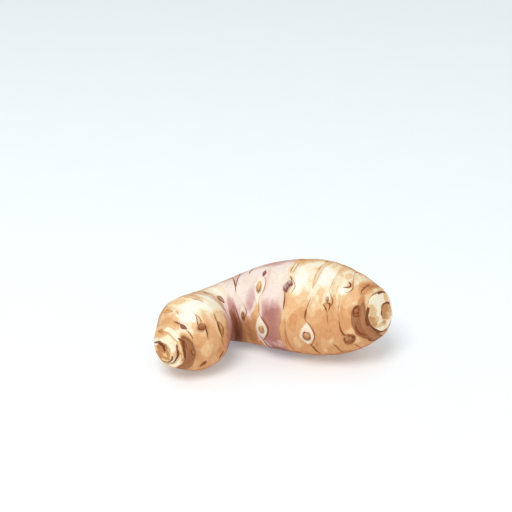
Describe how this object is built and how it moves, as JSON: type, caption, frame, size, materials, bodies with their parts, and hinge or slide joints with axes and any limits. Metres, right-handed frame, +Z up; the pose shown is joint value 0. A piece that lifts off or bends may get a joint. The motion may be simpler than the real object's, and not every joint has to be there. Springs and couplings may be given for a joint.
{
  "type": "jerusalem artichoke",
  "caption": "Bent jerusalem artichoke tuber with a small side lobe, a narrow waist, leaf-scar rings, buds and a broken end, lying on its flattened underside.",
  "frame": {"origin": "centre of the bounding box at its bottom, on the surface the tuber lies on", "axes": "+Z up from the surface; +X along the tuber's length towards its broken end; -Y towards the side the small lobe bends to"},
  "size_m": [0.0898, 0.0508, 0.0375],
  "materials": {
    "skin": "matte"
  },
  "bodies": {
    "root": {"tuber": "skin"}
  },
  "joints": []
}
